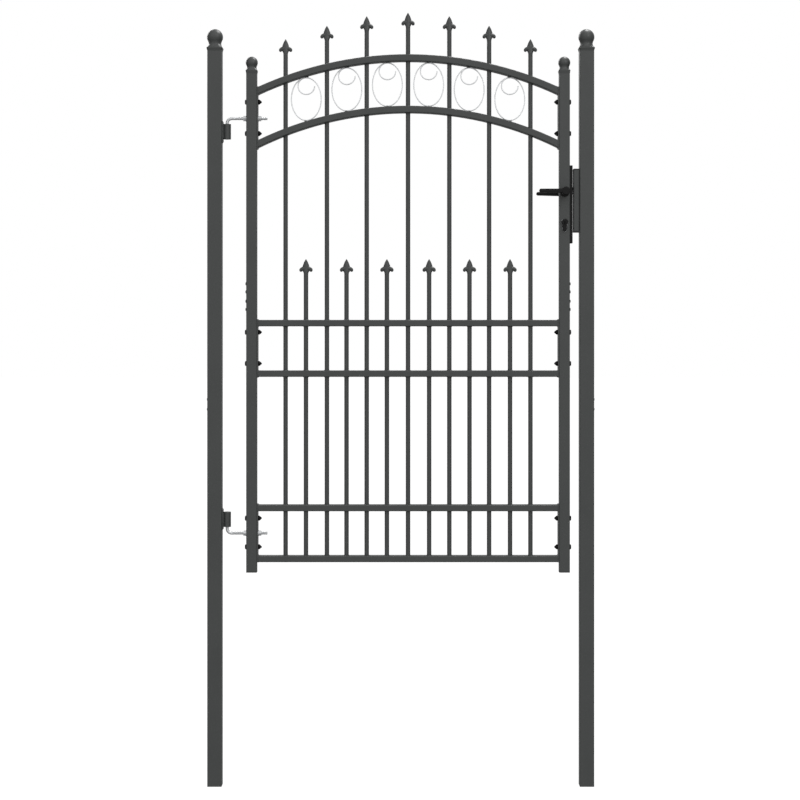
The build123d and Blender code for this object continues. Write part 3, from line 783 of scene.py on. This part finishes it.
for bolt_node, pin_way in PIN_WAYS.items():
    hinge_bolt(bolt_node, pin_way)

NUT_FLATS = 13.0
NUT_SIDES = 36
# distance from the plate, and what is added to the hexagon's reach
NUT_HEXAGONS = [(0.0, -0.35), (0.4, 0.0), (3.0, 0.0), (3.6, -0.45)]
# distance from the plate, radius: a domed cone that ends in a small flat
NUT_DOME = [
    (3.8, 6.2),
    (4.3, 5.9),
    (5.2, 5.2),
    (6.5, 4.1),
    (7.9, 2.9),
    (9.0, 1.8),
    (9.6, 1.1),
    (9.8, 0.6),
]
BOLT_GAP = 3  # least height between one panel bolt's vertices and the next one's


def hex_radius(angle):
    """Reach of the nut's hexagon, with flats above and below, at an angle from level."""
    sector = angle % (math.pi / 3) - math.pi / 6
    return NUT_FLATS / 2 / math.cos(sector)


def panel_bolt_heights():
    """Heights of the panel bolts, from the heights at which their node's mesh has vertices."""
    node = NODES["panel_bolts"]
    heights = {round((node.matrix_world @ vertex.co / MM).z) for vertex in node.data.vertices}
    levels = []
    for z in sorted(heights):
        if not levels or z - levels[-1][-1] > BOLT_GAP:
            levels.append([z])
        else:
            levels[-1].append(z)
    return [(level[0] + level[-1]) / 2 for level in levels]


def cap_nuts():
    """Pointed cap nuts on the panel bolts, inside both stiles."""
    low, high = box_mm("panel_cap_nuts")
    angles = round_angles(NUT_SIDES)
    sections = [(off, [hex_radius(a) + grow for a in angles]) for off, grow in NUT_HEXAGONS]
    sections += [(off, [radius] * len(angles)) for off, radius in NUT_DOME]
    shape = Shape()
    for face, way in ((low.x, 1), (high.x, -1)):
        for z in panel_bolt_heights():
            loops = []
            for off, radii in sections:
                x = face + way * off
                loops.append([(x, r * math.cos(a), z + r * math.sin(a)) for r, a in zip(radii, angles)])
            shape.loft(loops)
    shape.finish("panel_cap_nuts_turned", "leaf", "black_metal", ["panel_cap_nuts"], sharp=28)


cap_nuts()

# ---- strike box trim ------------------------------------------------------------------

PLUG_THICKNESS = 3.2
PLUG_PROUD = 0.3
PLUG_GAP = 0.05  # between a plug and the post
PLUG_POWER = 9  # how square a plug is
PLUG_SIDES = 48
# sizes of the black bead that paints the shadow in the gap between the box and the post
GAP_SHADE_RADIUS = 1.3
GAP_SHADE_STEPS = 60
GAP_SHADE_SIDES = 10
GAP_SHADE_SWAY = 0.1
# distance in from the box's end, and how far the plug's sides draw in
PLUG_SECTIONS = [
    (PLUG_THICKNESS, 0.3),
    (PLUG_THICKNESS - 0.3, 0.0),
    (0.2, 0.0),
    (-0.3, 0.5),
    (-0.5, 1.4),
]


def strike_trim():
    """Black plugs over the box's two ends, and a black bead of painted shade down each side where it meets
    the post, standing in for the shadow in the gap there.
    """
    low, high = box_mm("strike_box")
    left, right = low.x - PLUG_PROUD, high.x - PLUG_GAP
    x, half_x, half_y = (left + right) / 2, (right - left) / 2, high.y + PLUG_PROUD
    shape = Shape()
    for end, way in ((low.z, -1), (high.z, 1)):
        loops = []
        for inward, shrink in PLUG_SECTIONS:
            z = end - way * inward
            loops.append(superellipse(x, z, half_x - shrink, half_y - shrink, PLUG_POWER, PLUG_SIDES))
        shape.loft(loops)
    bottom, top = low.z + PLUG_THICKNESS, high.z - PLUG_THICKNESS
    heights = [bottom + (top - bottom) * k / GAP_SHADE_STEPS for k in range(GAP_SHADE_STEPS + 1)]
    # painted shade: a black bead down each side of the box where it meets the post, in place of the gap's
    # shadow
    for side in (-1, 1):
        path = []
        for z in heights:
            sway = GAP_SHADE_SWAY * math.sin(z * 0.9)
            path.append(Vector((high.x - GAP_SHADE_RADIUS + sway, side * high.y, z)))
        shape.loft(tube(path, GAP_SHADE_RADIUS, GAP_SHADE_SIDES))
    shape.finish("strike_trim", "posts", "black_plastic", sharp=50)


strike_trim()

# ---- softened edges on the carried-over metal -----------------------------------------

# node: width of the rounded edge in millimetres
SOFT_EDGES = {
    "hinge_side_end_plates": 0.5,
    "lock_side_end_plates": 0.5,
    "hinge_plates": 0.5,
    "lock_forend": 0.5,
    "strike_box": 0.4,
    "hinge_nuts": 0.35,
    "hinge_washers": 0.25,
    "stile_end_plugs": 0.5,
    "hinge_barrels": 0.5,
}

for edge_node, edge_width in SOFT_EDGES.items():
    bevel = NODES[edge_node].modifiers.new("soft edge", "BEVEL")
    bevel.width = edge_width * MM
    bevel.segments = 2
    bevel.limit_method = "ANGLE"
    bevel.angle_limit = math.radians(50)
    bevel.use_clamp_overlap = True

# ---- camera, floor and light ----------------------------------------------------------

CAMERA_PLACE = (-0.0019, -5.008, 1.1697)
CAMERA_LENS = 85.0
CAMERA_SHIFT = -0.07

FLOOR_HALF = 60.0
FLOOR_COLOUR = (0.1, 0.1, 0.1, 1)
FLOOR_GLOW = 0.97


def camera():
    """A level camera in front of the gate."""
    data = bpy.data.cameras.new("camera")
    data.lens = CAMERA_LENS
    data.sensor_width = 36.0
    data.shift_y = CAMERA_SHIFT
    data.clip_end = 200.0
    view = bpy.data.objects.new("camera", data)
    view.location = CAMERA_PLACE
    view.rotation_euler = (math.radians(90), 0, 0)
    bpy.context.scene.collection.objects.link(view)
    bpy.context.scene.camera = view


def floor():
    """A white floor with the studio's own glow, kept out of the metal's reflections."""
    mesh = bpy.data.meshes.new("floor")
    corners = [(x * FLOOR_HALF, y * FLOOR_HALF, 0) for x, y in ((-1, -1), (1, -1), (1, 1), (-1, 1))]
    mesh.from_pydata(corners, [], [(0, 1, 2, 3)])
    material, _, surface, _ = shader("pale floor")
    surface.inputs["Base Color"].default_value = FLOOR_COLOUR
    surface.inputs["Roughness"].default_value = 0.9
    surface.inputs["Specular IOR Level"].default_value = 0.0
    surface.inputs["Emission Color"].default_value = (1, 1, 1, 1)
    surface.inputs["Emission Strength"].default_value = FLOOR_GLOW
    mesh.materials.append(material)
    piece = bpy.data.objects.new("floor", mesh)
    piece.visible_diffuse = False
    piece.visible_glossy = False
    bpy.context.scene.collection.objects.link(piece)


def area_light(name, place, aim, size, power):
    """A square light that faces a point, with its side in metres and its power in watts."""
    data = bpy.data.lights.new(name, "AREA")
    data.shape = "SQUARE"
    data.size = size
    data.energy = power
    light = bpy.data.objects.new(name, data)
    light.location = place
    light.rotation_euler = (Vector(aim) - Vector(place)).to_track_quat("-Z", "Y").to_euler()
    bpy.context.scene.collection.objects.link(light)


# share of the way along an axis, brightness
# along Y: bright in front of the gate (0), dim at its sides, half as bright behind it (1)
ROOM_DEPTH = [(0.0, 1.0), (0.2, 0.9), (0.42, 0.42), (0.62, 0.34), (1.0, 0.5)]
# along Z: dim below (0), bright overhead (1)
ROOM_HEIGHT = [(0.0, 0.4), (0.4, 0.75), (0.55, 1.0), (1.0, 1.9)]


def room():
    """A soft studio: plain white to the camera, with dim sides that draw the tubes' rounded edges."""
    world = bpy.data.worlds.new("studio")
    bpy.context.scene.world = world
    world.use_nodes = True
    tree = world.node_tree
    background = next(n for n in tree.nodes if n.type == "BACKGROUND")
    axes = tree.nodes.new("ShaderNodeSeparateXYZ")
    tree.links.new(tree.nodes.new("ShaderNodeTexCoord").outputs["Generated"], axes.inputs["Vector"])
    glow = []
    for axis, levels in (("Y", ROOM_DEPTH), ("Z", ROOM_HEIGHT)):
        share = tree.nodes.new("ShaderNodeMapRange")
        share.inputs["From Min"].default_value = -1.0
        tree.links.new(axes.outputs[axis], share.inputs["Value"])
        stops = [(position, (level, level, level)) for position, level in levels]
        glow.append(ramp(tree, share.outputs["Result"], stops))
    lit = tree.nodes.new("ShaderNodeMixRGB")
    lit.blend_type = "MULTIPLY"
    lit.inputs["Fac"].default_value = 1.0
    tree.links.new(glow[0], lit.inputs["Color1"])
    tree.links.new(glow[1], lit.inputs["Color2"])
    seen = tree.nodes.new("ShaderNodeLightPath").outputs["Is Camera Ray"]
    white = blend_colours(tree, seen, lit.outputs["Color"], (1, 1, 1))
    tree.links.new(white, background.inputs["Color"])
    bpy.context.scene.view_settings.view_transform = "Standard"


camera()
floor()
room()
area_light("overhead", (0.9, 0.9, 4.6), (0, 0, 1.6), 0.9, 75)
area_light("key", (2.6, -3.8, 4.0), (0, 0, 1.2), 1.3, 30)
area_light("rear", (-2.2, 3.8, 3.6), (0, 0, 1.2), 2.0, 70)
